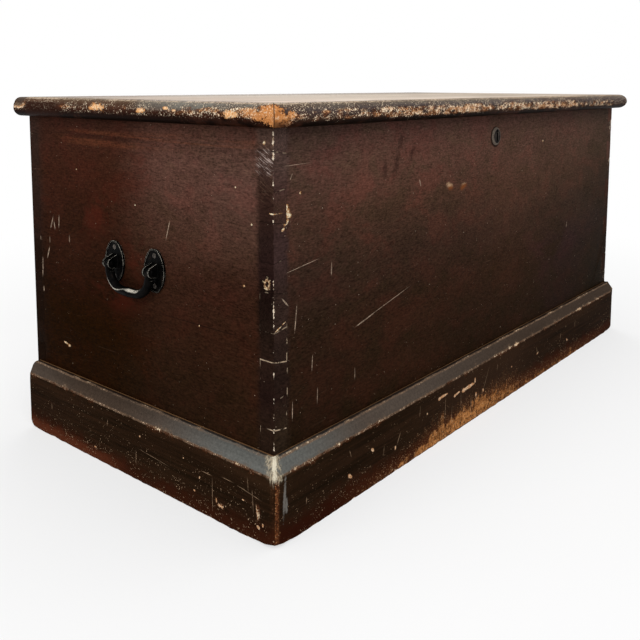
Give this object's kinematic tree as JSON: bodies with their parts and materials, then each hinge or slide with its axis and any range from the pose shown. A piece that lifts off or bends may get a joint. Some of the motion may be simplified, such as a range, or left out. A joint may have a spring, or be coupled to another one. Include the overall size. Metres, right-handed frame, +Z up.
{
  "type": "blanket chest",
  "caption": "Dovetailed pine blanket chest on a bevelled plinth, with a hinged moulded lid, a lock and an iron drop handle on each end.",
  "frame": {"origin": "middle of the base of the box that holds the closed chest", "axes": "+X along the length towards the right end, -Y is the front with the keyhole, +Z up"},
  "size_m": [1.106, 0.53, 0.511],
  "materials": {
    "stained_pine": "worn dark red-brown stain, satin",
    "stained_plinth": "worn black-brown stain, satin",
    "lid_paint": "rubbed grey-brown stain",
    "moulding_paint": "black-brown stain worn through to bare pine",
    "bare_pine": "unfinished, aged",
    "black_iron": "blackened, rubbed on the high spots",
    "dull_iron": "dull grey",
    "steel_fastener": "old steel"
  },
  "bodies": {
    "carcase": {"front_board": "stained_pine", "back_board": "stained_pine", "end_board_left": "stained_pine", "end_board_right": "stained_pine", "bottom_board_1": "bare_pine", "bottom_board_2": "bare_pine", "bottom_board_3": "bare_pine", "bottom_board_4": "bare_pine", "bottom_board_5": "bare_pine", "plinth_front": "stained_plinth", "plinth_left": "stained_plinth", "plinth_right": "stained_plinth", "plinth_back_rail": "bare_pine", "plinth_corner_blocks": "bare_pine", "bottom_nails": "steel_fastener", "plinth_brads": "steel_fastener", "hinge_left_lower_leaf": "dull_iron", "hinge_left_pin": "steel_fastener", "hinge_right_lower_leaf": "dull_iron", "hinge_right_pin": "steel_fastener", "hinge_lower_screws": "steel_fastener", "escutcheon": "dull_iron", "escutcheon_pins": "steel_fastener", "lock_plate": "dull_iron", "lock_case": "dull_iron", "lock_spring": "steel_fastener", "lock_key_pin": "steel_fastener", "lock_ward": "steel_fastener", "lock_screws": "steel_fastener", "handle_left_rose_front": "black_iron", "handle_left_rose_back": "black_iron", "handle_left_bail_pins": "steel_fastener", "handle_left_screws": "steel_fastener", "handle_right_rose_front": "black_iron", "handle_right_rose_back": "black_iron", "handle_right_bail_pins": "steel_fastener", "handle_right_screws": "steel_fastener"},
    "lid": {"lid_board_front": "lid_paint", "lid_board_back": "lid_paint", "lid_moulding_front": "moulding_paint", "lid_moulding_left": "moulding_paint", "lid_moulding_right": "moulding_paint", "lid_moulding_brads": "steel_fastener", "hinge_left_upper_leaf": "dull_iron", "hinge_right_upper_leaf": "dull_iron", "hinge_upper_screws": "steel_fastener", "lock_link_plate": "dull_iron", "link_plate_screws": "steel_fastener"},
    "lock_bolt": {"lock_bolt": "dull_iron"},
    "left_bail": {"handle_left_bail": "black_iron"},
    "right_bail": {"handle_right_bail": "black_iron"}
  },
  "joints": [
    {"name": "lid_hinge", "type": "hinge", "parent": "carcase", "child": "lid", "pos_m": [0, 0.26091, 0.49115], "axis": [-1, 0, 0], "range_deg": [0, 100]},
    {"name": "lock_bolt_slide", "type": "slide", "parent": "carcase", "child": "lock_bolt", "axis": [1, 0, 0], "range_m": [0, 0.009]},
    {"name": "left_bail_swing", "type": "hinge", "parent": "carcase", "child": "left_bail", "pos_m": [-0.541, 0.009, 0.29], "axis": [0, 1, 0], "range_deg": [0, 175]},
    {"name": "right_bail_swing", "type": "hinge", "parent": "carcase", "child": "right_bail", "pos_m": [0.541, 0.009, 0.29], "axis": [0, -1, 0], "range_deg": [0, 175]}
  ]
}
